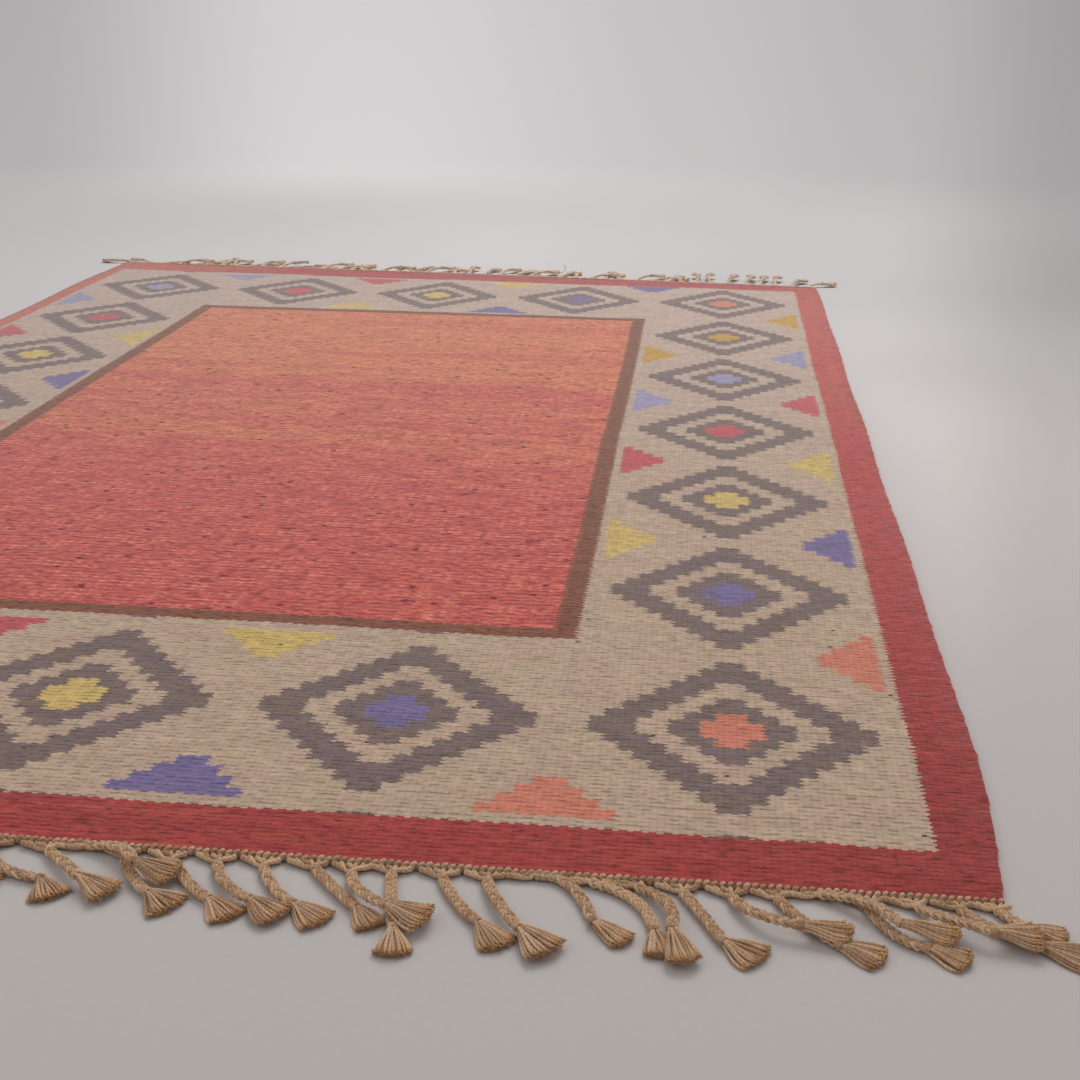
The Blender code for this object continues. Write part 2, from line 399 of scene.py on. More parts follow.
def pattern_colour(g, x, y, even, stroke, streak):
    """The wool colour at x, y from the pattern's middle, the rows' length and liveliness,
    and 1 inside the field.

    even is 1 on every second rib, and stroke and streak are short and long noises.
    """
    away_x = g.size(x)
    away_y = g.size(y)
    near_x = g.size(g.cycle(x + LOZENGE_X / 2, LOZENGE_X) - LOZENGE_X / 2)
    near_y = g.size(g.cycle(y + LOZENGE_Y / 2, LOZENGE_Y) - LOZENGE_Y / 2)
    rings = stepped(g, near_x, near_y)
    heart = rings < HEART_END
    outer_ring = (rings > OUTER_RING[0]) * (rings < OUTER_RING[1])
    inner_ring = (rings > HEART_END) * (rings < INNER_RING_END)
    grey_here = outer_ring + inner_ring

    # Triangles stand on the band's outer and inner edges, halfway between the lozenges
    between_y = LOZENGE_Y / 2 - near_y
    between_x = LOZENGE_X / 2 - near_x
    side_out = BAND_OUT_X - 0.010 - away_x
    side_in = away_x - (FRAME_X + 0.010)
    end_out = -BAND_FRONT_Y - 0.014 - away_y
    end_in = away_y - (FRAME_BACK_Y + 0.012)
    accent = heart
    for depth, spread, limit in (
        (side_out, between_y, away_y < 0.960),
        (side_in, between_y, away_y < 0.720),
    ):
        accent = accent + (stepped(g, depth, spread) < TRIANGLE_END) * (depth > 0.0) * limit
    for depth, spread, limit in (
        (end_out, between_x, away_x < 0.550),
        (end_in, between_x, away_x < 0.360),
    ):
        accent = accent + (stepped(g, spread, depth) < TRIANGLE_END) * (depth > 0.0) * limit

    count_y = g.floor(y / LOZENGE_Y + heart * 0.5)
    count_x = g.floor(x / LOZENGE_X + heart * 0.5)
    choice = g.cycle(count_y + count_x * 2.0, 3.0)
    pale = g.cycle(count_y + count_x, 2.0)
    warm = g.blend(pale, OCHRE, YELLOW)
    rosy = g.blend(pale, ROSE, CORAL)
    cool = g.blend(pale, VIOLET, LILAC)
    accent_colour = g.blend(choice > 0.5, warm, g.blend(choice > 1.5, rosy, cool))

    tint = g.noise_flat(x * 9.0, y * 75.0, 1.0)
    beige = g.blend(g.rise(tint, 0.50, 0.72) * 0.7, BEIGE, BEIGE_ROSY)
    beige = g.blend(g.rise(tint, 0.46, 0.26) * 0.7, beige, BEIGE_STRAW)
    # Painted light: the pale band turns paler toward the back
    beige = g.blend(g.rise(y, -0.5, 0.9) * 0.8, beige, BEIGE_PAINTED_LIGHT)
    grey = g.blend(g.rise(tint, 0.42, 0.62), GREY, GREY_MAUVE)
    colour = g.blend(grey_here, beige, grey)
    colour = g.blend(g.lower(accent, 1.0), colour, accent_colour)

    inside_frame = (away_x < FRAME_X) * (y > FRAME_FRONT_Y) * (y < FRAME_BACK_Y)
    inside_field = (away_x < FRAME_X - FRAME_LINE) * (y > FRAME_FRONT_Y + FRAME_LINE)
    inside_field = inside_field * (y < FRAME_BACK_Y - FRAME_LINE)
    brown = g.blend(g.rise(stroke, 0.48, 0.70), BROWN, BROWN_DARK)
    colour = g.blend(inside_frame, colour, brown)

    bands = g.noise_flat(x * 1.1, y * 7.0, 2.0)
    warmth = g.chart(y + x * 0.12 + (bands - 0.5) * 0.12, FIELD_WARMTH)
    warmth = g.rise(warmth + (bands - 0.5) * 0.5 + (streak - 0.5) * 0.5, 0.0, 1.0)
    field = g.blend(warmth, FIELD_ROSE, FIELD_ORANGE)
    rosy_bands = g.rise(g.noise_flat(x * 1.3 + 4.0, y * 15.0, 1.0), 0.56, 0.68)
    field = g.blend(rosy_bands * 0.5, field, FIELD_ROSE)
    field = g.blend(g.rise(stroke, 0.50, 0.74) * 0.20, field, FIELD_LIGHT)
    field = g.blend(g.rise(stroke, 0.45, 0.27) * 0.46, field, FIELD_DARK)
    drift = (g.noise_flat(x * 3.0, y * 9.0) - 0.5) * 1.6
    turn = g.part(y / (PICK * FIELD_ROW) + drift)
    dots = (turn < 0.30) * even * g.rise(streak, 0.44, 0.62) * 0.50
    field = g.blend(dots, field, FIELD_LIGHT)
    dash = g.chance(g.floor(x / DASH), g.floor(y / DASH_HEIGHT)) > DASH_RARITY
    field = g.blend(dash * 0.9, field, FIELD_DEEP)
    colour = g.blend(inside_field, colour, field)

    back_line = BAND_BACK_Y - x * BAND_BACK_SKEW
    inside_red = (away_x < BAND_OUT_X) * (y > BAND_FRONT_Y) * (y < back_line)
    red = g.blend(g.rise(tint, 0.50, 0.72), RED, RED_WARM)
    # The border turns more coral toward the back, most at the left. It is darker in front and
    # brighter toward the back as painted light, a little darker over the back end, and darker at
    # the front right corner as painted shade
    coral = g.rise(x, -0.30, -0.78) * g.rise(y, -0.6, 0.4) * 0.75
    coral = coral + g.rise(x, 0.70, 0.78) * g.rise(y, -0.2, 0.8) * 0.30
    red = g.blend(coral, red, RED_CORAL)
    red = g.blend(g.rise(stroke, 0.45, 0.26) * 0.38, red, RED_DARK)
    # Painted light: darker in front and brighter toward the back; the border is also a little
    # darker over the back end
    painted_light_along_y = 0.97 + g.rise(y, -1.15, -0.1) * 0.22 - g.rise(y, 1.0, 1.2) * 0.13
    # Painted shade: the front right corner is darker
    red = g.scaled(red, painted_light_along_y - g.rise(x, 0.45, 0.80) * g.rise(y, -0.75, -1.15) * 0.13)
    colour = g.blend(inside_red, red, colour)
    in_band = (1.0 - inside_field) * inside_red
    outside = 1.0 - inside_red
    row_length = inside_field * FIELD_ROW + in_band * BEIGE_ROW + outside * RED_ROW
    lively = inside_field * 0.62 + in_band * 0.48 + outside * 0.62
    return colour, row_length, lively, inside_field


def weave_material():
    g = Graph("Wool weave")
    place = g.object_place()
    x, y, _ = g.split(place)
    wander = g.noise(place, 3.2, 1.0)
    flutter = g.noise_flat(x * 14.0, y * 3.0)
    uneven = g.noise_flat(x * 70.0, y * 95.0)
    weave_x = x + (wander - 0.5) * 0.006 + (uneven - 0.5) * 0.0013
    weave_y = y + (wander - 0.5) * 0.010 + (flutter - 0.5) * 0.0035 + (uneven - 0.5) * 0.0020

    rib = g.floor(weave_x / RIB)
    odd = g.cycle(rib, 2.0)
    across = weave_x / RIB - rib - 0.5
    rows = weave_y / PICK - across * across * 1.7
    bead = g.floor((rows + odd) / 2.0)
    pick = bead * 2.0 - odd
    along = (rows + odd) / 2.0 - bead - 0.5

    streak = g.noise_flat(weave_x * 13.0, weave_y * 44.0, 1.0, 0.8)
    stroke = g.noise_flat(weave_x * 62.0, rows * 0.33, 1.0, 0.7)
    bead_tone = g.chance(rib, bead)

    reach = g.math("SINE", rows * (TURN / 4.0)) * (g.chance(g.floor(rows / 4.0), 9.0) * 1.1 + 0.25)
    colour, row_length, lively, inside = pattern_colour(
        g, weave_x - PATTERN_X + reach * JOIN_TOOTH, (pick + 1.0) * PICK, 1.0 - odd, stroke, streak
    )

    round_across = 1.0 - across * across * 1.3
    round_along = 1.0 - along * along * 2.0
    pillow = g.higher(round_across * round_along, 0.0)
    wave = g.math("SINE", (rows + stroke * 1.6) / row_length * TURN)
    breaks = g.noise_flat(weave_x * 105.0, rows * 0.22)
    furrow = g.rise(wave, -0.1, -1.0) * g.rise(breaks, 0.58, 0.36)
    groove = g.rise(g.size(across), 0.30, 0.50)
    fibre = g.noise(g.joined(x * 900.0, y * 2600.0), 1.0, 1.0)
    tone = (stroke - 0.5) * 1.05 + (streak - 0.5) * 0.55 + wave * 0.07
    tone = 0.93 + tone * lively + (bead_tone - 0.5) * 0.07 + (fibre - 0.5) * 0.18
    # Painted shade: each bead is lighter on its rounded crown, and darker in the furrows between
    # rows and in the grooves between ribs
    tone = tone * (0.86 + pillow * 0.20) * (1.07 - furrow * 0.42 - groove * (0.05 - inside * 0.03))
    colour = g.scaled(colour, g.higher(tone, 0.25))
    speck = (bead_tone > FIBRE_RARITY) * (g.size(across) < FIBRE_HALF)
    colour = g.blend(speck, colour, DARK_FIBRE)

    height = pillow * 0.00030 - furrow * 0.00018 + (stroke - 0.5) * 0.0005
    g.bump(height + (fibre - 0.5) * 0.00012, 0.8)
    return g.surface(
        colour, Roughness=0.92, Specular_IOR_Level=0.15, Sheen_Weight=1.0, Sheen_Roughness=0.27
    )


# Cord colours: the front fringe's cords, the brushed-out tips of both fringes, and
# the back fringe's paler cords
CORD = (0.58, 0.345, 0.195, 1.0)
CORD_PALE = (0.76, 0.510, 0.325, 1.0)
CORD_TIP = (0.86, 0.505, 0.255, 1.0)
CORD_DEEP = (0.66, 0.335, 0.145, 1.0)
BACK_CORD = (0.66, 0.490, 0.370, 1.0)
BACK_CORD_PALE = (0.82, 0.660, 0.530, 1.0)


def cord_material(name, plain, pale):
    g = Graph(name)
    along, around, seed = g.split(g.attribute("cord_place").outputs["Vector"])
    tip = Term(g, g.attribute("cord_tip_and_shade").outputs["Fac"])
    tone = g.chance(seed, 5.0)
    blotch = g.noise(g.object_place(), 90.0, 1.0)
    twist = g.part(along / 0.0042 + around * 2.0)
    ply = g.size(twist - 0.5) * 2.0
    hollow = ply * ply
    fibre = g.noise_flat(along * 700.0 + around * 9.0, around * 26.0 + seed * 3.0, 1.0)
    colour = g.blend(g.rise(blotch + tone * 0.5, 0.40, 0.95), plain, pale)
    ends = g.blend(g.rise(blotch + (tone - 0.5) * 0.5, 0.52, 0.24), CORD_TIP, CORD_DEEP)
    colour = g.blend(g.rise(tip + (blotch - 0.5) * 0.6, 0.40, 1.0), colour, ends)
    # Painted shade: darker in the hollows between the twisted plies
    shade = 1.0 + (tone - 0.5) * 0.26 + (fibre - 0.5) * 0.34 - hollow * 0.24
    # Painted shade on the core and the knots, where the tip value is below 0
    shade = shade * (1.0 - g.rise(tip, 0.0, -1.0) * 0.45)
    colour = g.scaled(colour, shade)
    g.bump((1.0 - hollow) * 0.00028 + (fibre - 0.5) * 0.00014, 0.9)
    return g.surface(
        colour, Roughness=0.95, Specular_IOR_Level=0.15, Sheen_Weight=0.40, Sheen_Roughness=0.28
    )


# The cloth

def sheet_ring():
    """One section of the sheet, as arrays of across (-1 to 1), outward share and height share."""
    top = np.linspace(-1.0, 1.0, SHEET_COLUMNS + 1)
    turn = np.linspace(math.pi / 2, -math.pi / 2, ROUND_STEPS + 2)[1:-1]
    ones = np.ones(len(turn))
    across = np.concatenate([top, ones, top[::-1], -ones])
    outward = np.concatenate([top * 0.0, np.cos(turn), top * 0.0, np.cos(turn)])
    height = np.concatenate([top * 0.0 + 1.0, np.sin(turn), top * 0.0 - 1.0, -np.sin(turn)])
    return across, outward, height


def sheet_points():
    """The sheet's points, row by row from the front end to the back."""
    half_thick = THICKNESS / 2
    across, outward, height = sheet_ring()
    along = np.linspace(-1.0, 1.0, SHEET_ROWS + 1)[:, None]
    y = along * HALF_LENGTH + across[None, :] * 0.0
    bumps = np.zeros_like(y)
    chance = np.random.default_rng(11)
    for length in (0.018, 0.027, 0.041, 0.072):
        bumps = bumps + np.sin(TURN * y / length + chance.uniform(0.0, TURN) + across * 2.0)
    bumps = bumps * SELVEDGE_BUMPS / 2.0
    for _ in range(3):
        left = side_x(-1, y) + half_thick
        right = side_x(1, y) - half_thick
        middle = (left + right) / 2.0
        x = middle + across * (right - left) / 2.0
        x = x + np.sign(across) * outward * (half_thick + bumps - SELVEDGE_BUMPS)
        y = front_y(x) + (back_y(x) - front_y(x)) * (along + 1.0) / 2.0
    low = ripple(across[None, :], along)
    relief = np.zeros_like(x)
    for _ in range(7):
        heading = chance.uniform(0.0, math.pi)
        length = chance.uniform(0.12, 0.45)
        wave = (x * math.cos(heading) + y * math.sin(heading)) / length
        relief = relief + np.sin(TURN * wave + chance.uniform(0.0, TURN)) / 7.0
    z = low + half_thick + height * half_thick + (relief + 1.0) * RELIEF
    return np.stack([x, y, z], axis=-1)


def sheet_faces(rows, ring):
    """Quads between the rows, the quads and corner faces that close the front end, and
    how much further on the back end's points are numbered.
    """
    column = np.arange(ring)
    following = np.roll(column, -1)
    quads = []
    for row in range(rows - 1):
        a = row * ring
        b = a + ring
        quads.append(np.stack([a + column, a + following, b + following, b + column], axis=1))
    faces = np.concatenate(quads)
    top = np.arange(SHEET_COLUMNS)
    under = 2 * SHEET_COLUMNS + 1 + ROUND_STEPS - top
    cap = np.stack([top, under, under - 1, top + 1], axis=1)
    last = (rows - 1) * ring
    corner_right = np.arange(SHEET_COLUMNS, SHEET_COLUMNS + ROUND_STEPS + 2)
    corner_left = np.concatenate([np.arange(2 * SHEET_COLUMNS + ROUND_STEPS + 1, ring), [0]])
    return faces, cap, last, corner_right, corner_left


def mesh_from(name, points, faces):
    """A smooth-shaded mesh. faces is a list of index arrays, each with one row per face."""
    mesh = bpy.data.meshes.new(name)
    mesh.vertices.add(len(points))
    mesh.vertices.foreach_set("co", np.asarray(points, np.float32).ravel())
    corners = np.concatenate([group.ravel() for group in faces]).astype(np.int32)
    sizes = np.concatenate([np.full(len(group), group.shape[1]) for group in faces])
    starts = np.concatenate([[0], np.cumsum(sizes)[:-1]]).astype(np.int32)
    mesh.loops.add(len(corners))
    mesh.loops.foreach_set("vertex_index", corners)
    mesh.polygons.add(len(starts))
    mesh.polygons.foreach_set("loop_start", starts)
    mesh.polygons.foreach_set("use_smooth", np.ones(len(starts), bool))
    mesh.update(calc_edges=True)
    return mesh


def add_piece(name, mesh, material):
    mesh.materials.append(material)
    piece = bpy.data.objects.new(name, mesh)
    bpy.context.scene.collection.objects.link(piece)
    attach(piece, "root")
    return piece


def make_cloth(material):
    points = sheet_points()
    rows, ring, _ = points.shape
    faces, cap, last, corner_right, corner_left = sheet_faces(rows, ring)
    ends = [
        cap,
        cap[:, ::-1] + last,
        corner_right[None, :],
        corner_right[None, ::-1] + last,
        corner_left[None, :],
        corner_left[None, ::-1] + last,
    ]
    mesh = mesh_from("woven_cloth", points.reshape(-1, 3), [faces[:, ::-1]] + ends)
    edges = np.empty(2 * len(mesh.edges), np.int32)
    mesh.edges.foreach_get("vertices", edges)
    edge_rows = edges.reshape(-1, 2) // ring
    sharp = (edge_rows == 0).all(axis=1) | (edge_rows == rows - 1).all(axis=1)
    mesh.attributes.new("sharp_edge", "BOOLEAN", "EDGE").data.foreach_set("value", sharp)
    cloth = add_piece("woven_cloth", mesh, material)
    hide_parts("rug_cloth")


# The fringe

UP = np.array((0.0, 0.0, 1.0))

# How each lock of the front fringe lies, in millimetres and degrees. root is its
# place along the end, bend and tie are where its braid passes halfway and where
# it is tied, turn is the tassel's direction from straight out, and lift is how
# high it lies on the lock beside it.
FRONT_LOCKS = (
    # root, bend x, bend out, tie x, tie out, turn, tassel, width, lift
    (32, 47, 34, 88, 50, 40, 27, 30, 0),
    (68, 97, 30, 115, 48, 63, 35, 31, 4),
    (96, 128, 8, 152, 31, 79, 35, 31, 8),
    (132, 152, 37, 171, 58, 58, 28, 35, 0),
    (168, 195, 40, 217, 60, 50, 30, 30, 0),
    (206, 222, 39, 247, 61, 58, 32, 30, 3),
    (240, 258, 38, 279, 59, 54, 32, 31, 0),
    (276, 301, 33, 324, 58, 42, 27, 25, 0),
    (310, 322, 42, 346, 64, 76, 34, 34, 8),
    (340, 346, 37, 356, 80, 10, 31, 26, 0),
    (376, 391.5, 37, 413, 66, 40, 33, 30, 0),
    (410, 422, 38, 443, 75, 48, 34, 34, 4),
    (441, 471, 9, 494, 56, 51, 32, 22, 0),
    (477, 519, 23, 537, 62, 12, 28, 22, 0),
    (512, 543.5, 29, 549, 65, 17, 37, 24, 5),
    (551, 568, 34, 585, 69, 58, 31, 34, 0),
    (588, 606, 38, 638, 54, 90, 35, 25, 7),
    (620, 638, 34, 665, 65, 70, 30, 30, 0),
    (645, 680, 14, 707, 44, 81, 40, 26, 8),
    (686, 700, 42, 725, 62, 68, 28, 27, 0),
    (716, 743, 32, 771, 49, 98, 32, 33, 8),
    (749, 769, 28, 801, 51, 74, 36, 33, 0),
    (776, 784, 14, 799, 31, 78, 24, 22, 0),
)
FRONT_SHIFT = 778

# The same for the back fringe, each lock measured from its own root, by turns. Most
# lie over to the right, close along the end.
BACK_LOCKS = (
    # bend x, bend out, tie x, tie out, turn, tassel, width, lift
    (18, 20, 42, 34, 78, 34, 26, 3),
    (10, 26, 26, 50, 34, 32, 28, 1),
    (20, 18, 46, 26, 84, 34, 24, 7),
    (6, 26, 18, 52, 58, 32, 27, 1),
    (15, 24, 36, 42, 66, 31, 30, 6),
    (22, 16, 50, 28, 76, 33, 25, 2),
    (-4, 26, 8, 50, 44, 33, 27, 4),
)
BACK_LOCK_COUNT = 46
BACK_PITCH = 34.6
# Locks that stand out of the row in the photograph, by root from the left
BACK_OWN = {
    0: (-16, 12, -46, 14, -84, 34, 22, 3),
    1: (-8, 18, -26, 32, -70, 28, 20, 3),
    2: (10, 14, 32, 20, 70, 26, 18, 1),
    7: (-4, 30, -8, 56, -24, 26, 20, 6),
    8: (16, 18, 40, 24, 82, 28, 18, 2),
    10: (24, 36, 62, 40, -76, 34, 26, 8),
    12: (14, 14, 36, 18, 86, 30, 18, 0),
    16: (-12, 24, -26, 50, -40, 20, 12, 1),
    18: (4, 26, 6, 48, 4, 24, 22, 1),
    22: (0, 26, 2, 46, -4, 24, 22, 2),
    23: (2, 28, 4, 54, 6, 26, 26, 6),
    24: (6, 28, 14, 52, 20, 28, 26, 3),
    25: (8, 30, 18, 54, 60, 30, 26, 5),
    28: (-8, 24, -22, 42, -60, 30, 22, 2),
    30: (4, 28, 2, 50, -20, 28, 18, 3),
    32: (4, 28, 8, 50, 16, 28, 24, 6),
    33: (-4, 28, -10, 52, -12, 26, 24, 3),
    36: (8, 22, 22, 40, 76, 30, 20, 1),
    37: (-2, 26, -2, 48, -8, 28, 26, 3),
    38: (2, 30, 6, 50, -12, 42, 20, 9),
    39: (-8, 30, -10, 52, 12, 42, 20, 10),
    40: (4, 30, 12, 50, 6, 42, 22, 9),
    41: (10, 30, 24, 50, -8, 42, 22, 10),
    42: (6, 30, 12, 52, 3, 42, 22, 8),
    43: (2, 30, 3, 50, 12, 42, 22, 10),
    44: (8, 28, 18, 52, 34, 30, 24, 5),
    45: (12, 22, 36, 34, 68, 32, 20, 4),
}
# A thin stray yarn beyond the back fringe: x and distance out, in millimetres
STRAY_YARN = ((168, 64), (190, 72), (214, 70), (226, 92), (231, 128), (226, 165), (222, 186))

CORD_RADIUS = 1.28 * MM
# How much thicker a cord is at the knotted edge
CORD_SWELL = 1.25 * MM
CORDS_PER_LOCK = 6
# A knot's half width and half height, its cord's radius and its middle's height, and
# the core that runs through the knots
KNOT_WIDTH = 1.8 * MM
KNOT_HEIGHT = 1.5 * MM
KNOT_RADIUS = 2.15 * MM
KNOT_MIDDLE = 4.1 * MM
KNOT_SLANT = math.radians(28.0)
KNOT_CORE = 2.3 * MM
KNOT_CORE_HEIGHT = 3.3 * MM
KNOT_INSET = 2.6 * MM
# Painted shade on the core and the knots, as a cord's tip value below 0: the core darkens as shade
# in the gaps between the knots, the knots a little
CORE_SHADE = -1.0
KNOT_SHADE = -0.38
# Where a lock leaves the edge, and where its cords have come together in the braid
LOCK_START = 2.6 * MM
BRAID_START = 14.0 * MM
BRAID_PERIOD = 20.0 * MM
BRAID_SIDE = 2.5 * MM
BRAID_RISE = 1.45 * MM
BRAID_MIDDLE = 3.9 * MM
BRAID_STEP = 1.45 * MM
STRAND_HALF = 1.05 * MM
# The tie's turns of yarn, its length along the braid, half width and half height
TIE_TURNS = 2.6
TIE_LENGTH = 3.6 * MM
TIE_SIDE = 3.5 * MM
TIE_RISE = 3.1 * MM
TIE_RADIUS = 0.85 * MM
# A tassel's half width and height at its neck, and its height where it lies
NECK_HALF = 2.3 * MM
NECK_HEIGHT = 3.4 * MM
TASSEL_HEIGHT = 4.2 * MM
PLIES = 26
LAYERS = 5
YARN_RADIUS = 0.7 * MM
# Hairs at each ply's tip, in front where the photograph shows them, on the rest of
# the front fringe, and at the back
FRONT_HAIRS = 13
HIDDEN_HAIRS = 3
BACK_HAIRS = 4


class Strands:
    """Collects tubes, and makes one mesh of them."""

    def __init__(self):
        self.points = []
        self.quads = []
        self.ends = {}
        self.places = []
        self.tips = []
        self.end_places = {}
        self.end_tips = {}
        self.total = 0
        self.seed = 0

    def add(self, line, radius, sides, reference=UP, tip=0.0):
        """A tube along line. radius and tip may vary along it.

        tip is 1 at a brushed-out end, 0 elsewhere, and below 0 where a cord is darkened as painted
        shade.
        """
        line = np.asarray(line, float)
        count = len(line)
        radius = np.broadcast_to(np.asarray(radius, float), (count,))
        tip = np.broadcast_to(np.asarray(tip, float), (count,))
        heading = np.gradient(line, axis=0)
        heading /= np.linalg.norm(heading, axis=1)[:, None]
        across = np.cross(heading, np.broadcast_to(reference, line.shape))
        across /= np.maximum(np.linalg.norm(across, axis=1)[:, None], 1e-9)
        above = np.cross(across, heading)
        angle = np.arange(sides) * TURN / sides
        ring = np.cos(angle)[None, :, None] * across[:, None, :]
        ring = ring + np.sin(angle)[None, :, None] * above[:, None, :]
        points = line[:, None, :] + radius[:, None, None] * ring
        steps = np.linalg.norm(np.diff(line, axis=0), axis=1)
        travelled = np.concatenate([[0.0], np.cumsum(steps)])

        row = np.arange(count - 1)[:, None] * sides
        column = np.arange(sides)[None, :]
        following = (column + 1) % sides
        quads = np.stack(
            [row + column, row + following, row + sides + following, row + sides + column],
            axis=-1,
        ).reshape(-1, 4)
        near = np.broadcast_to(travelled[:-1, None], (count - 1, sides))
        far = np.broadcast_to(travelled[1:, None], (count - 1, sides))
        low = np.broadcast_to(column / sides, (count - 1, sides))
        high = low + 1.0 / sides
        self.seed += 1
        own = np.full((count - 1, sides, 4), float(self.seed))
        along = np.stack([near, near, far, far], axis=-1)
        around = np.stack([low, high, high, low], axis=-1)
        places = np.stack([along, around, own], axis=-1).reshape(-1, 4, 3)
        near_tip = np.broadcast_to(tip[:-1, None], (count - 1, sides))
        far_tip = np.broadcast_to(tip[1:, None], (count - 1, sides))
        tips = np.stack([near_tip, near_tip, far_tip, far_tip], axis=-1).reshape(-1, 4)

        self.points.append(points.reshape(-1, 3))
        self.quads.append(quads + self.total)
        self.places.append(places)
        self.tips.append(tips)
        for first, order, where in ((0, -1, 0), ((count - 1) * sides, 1, -1)):
            end = (np.arange(sides) + first + self.total)[::order]
            self.ends.setdefault(sides, []).append(end)
            end_place = np.zeros((sides, 3))
            end_place[:, 0] = travelled[where]
            end_place[:, 2] = self.seed
            self.end_places.setdefault(sides, []).append(end_place)
            self.end_tips.setdefault(sides, []).append(np.full(sides, tip[where]))
        self.total += count * sides

    def piece(self, name, material):
        """One mesh of every tube, with each tube's ends closed."""
        groups = [np.concatenate(self.quads)]
        places = [np.concatenate(self.places).reshape(-1, 3)]
        tips = [np.concatenate(self.tips).ravel()]
        for sides in sorted(self.ends):
            groups.append(np.array(self.ends[sides]))
            places.append(np.concatenate(self.end_places[sides]))
            tips.append(np.concatenate(self.end_tips[sides]))
        mesh = mesh_from(name, np.concatenate(self.points), groups)
        layer = mesh.attributes.new("cord_place", "FLOAT_VECTOR", "CORNER")
        layer.data.foreach_set("vector", np.concatenate(places).astype(np.float32).ravel())
        layer = mesh.attributes.new("cord_tip_and_shade", "FLOAT", "CORNER")
        layer.data.foreach_set("value", np.concatenate(tips).astype(np.float32))
        piece = add_piece(name, mesh, material)
        return piece


class Lock:
    """One braided lock's middle line and its tassel's direction, in metres."""

    def __init__(self, end, root, bend, tie, turn, tassel, width, lift):
        self.end = end
        base = end_y(end, root)
        self.root = np.array((root, base + end * LOCK_START))
        passes = np.array((bend[0], base + end * bend[1]))
        self.tie = np.array((tie[0], base + end * tie[1]))
        self.bend = 2.0 * passes - (self.root + self.tie) / 2.0
        self.turn = math.radians(turn)
        self.tassel = tassel
        self.width = width
        self.lift = lift

    def plan(self, share):
        """Points and headings of the braid's middle line, in plan, for shares from 0 to 1."""
        share = np.asarray(share)[:, None]
        point = (1 - share) ** 2 * self.root + 2 * share * (1 - share) * self.bend
        point = point + share ** 2 * self.tie
        heading = 2 * (1 - share) * (self.bend - self.root) + 2 * share * (self.tie - self.bend)
        heading = heading / np.linalg.norm(heading, axis=1)[:, None]
        return point, heading

    def length(self):
        point, _ = self.plan(np.linspace(0.0, 1.0, 40))
        return np.linalg.norm(np.diff(point, axis=0), axis=1).sum()

    def out(self):
        return np.array((math.sin(self.turn), self.end * math.cos(self.turn)))


def lock_cords(strands, lock):
    """Six cords that leave the knotted edge and plait into a three-strand braid."""
    length = lock.length()
    count = max(int(length / BRAID_STEP), 24)
    share = np.linspace(0.0, 1.0, count + 1)
    travelled = share * length
    point, heading = lock.plan(share)
    side = np.stack([heading[:, 1], -heading[:, 0]], axis=1)
    joined = smooth(travelled / BRAID_START)
    tight = 1.0 - 0.28 * smooth((share - 0.93) / 0.07)
    height = BRAID_MIDDLE + lock.lift * MM * smooth(share * 1.25)
    for index in range(CORDS_PER_LOCK):
        strand = index // 2
        ply = index % 2
        phase = TURN * (travelled / BRAID_PERIOD + strand / 3.0)
        sway = BRAID_SIDE * np.sin(phase) * tight
        rise = BRAID_RISE * np.sin(2.0 * phase) * tight
        slope = np.arctan2(np.cos(phase) * BRAID_SIDE * TURN, BRAID_PERIOD)
        beside = (ply * 2 - 1) * STRAND_HALF * tight
        sway = sway + beside * np.cos(slope)
        ahead = -beside * np.sin(slope)
        start = (index - (CORDS_PER_LOCK - 1) / 2.0) * RIB * 0.97
        free = np.zeros((count + 1, 3))
        free[:, 0] = lock.root[0] + start
        free[:, 1] = lock.root[1] + lock.end * travelled * 0.35
        free[:, 2] = KNOT_MIDDLE - 0.5 * MM
        plaited = np.zeros((count + 1, 3))
        plaited[:, :2] = point + side * sway[:, None] + heading * ahead[:, None]
        plaited[:, 2] = height + rise
        line = free + (plaited - free) * joined[:, None]
        strands.add(line, CORD_RADIUS + CORD_SWELL * (1.0 - joined), sides=5)


def lock_tie(strands, lock):
    """Thin turns of yarn round the braid's neck."""
    point, heading = lock.plan([1.0])
    point = point[0]
    forward = (heading[0] + lock.out()) / 2.0
    forward = forward / np.linalg.norm(forward)
    side = np.array((forward[1], -forward[0]))
    angle = np.linspace(0.0, TURN * TIE_TURNS, 40)
    drift = (angle / angle[-1] - 0.5) * TIE_LENGTH
    line = np.zeros((len(angle), 3))
    line[:, :2] = point + side * (TIE_SIDE * np.cos(angle))[:, None] + forward * drift[:, None]
    line[:, 2] = BRAID_MIDDLE + lock.lift * MM + TIE_RISE * np.sin(angle)
    axis = np.array((forward[0], forward[1], 0.0))
    strands.add(line, TIE_RADIUS, sides=6, reference=axis, tip=0.3)


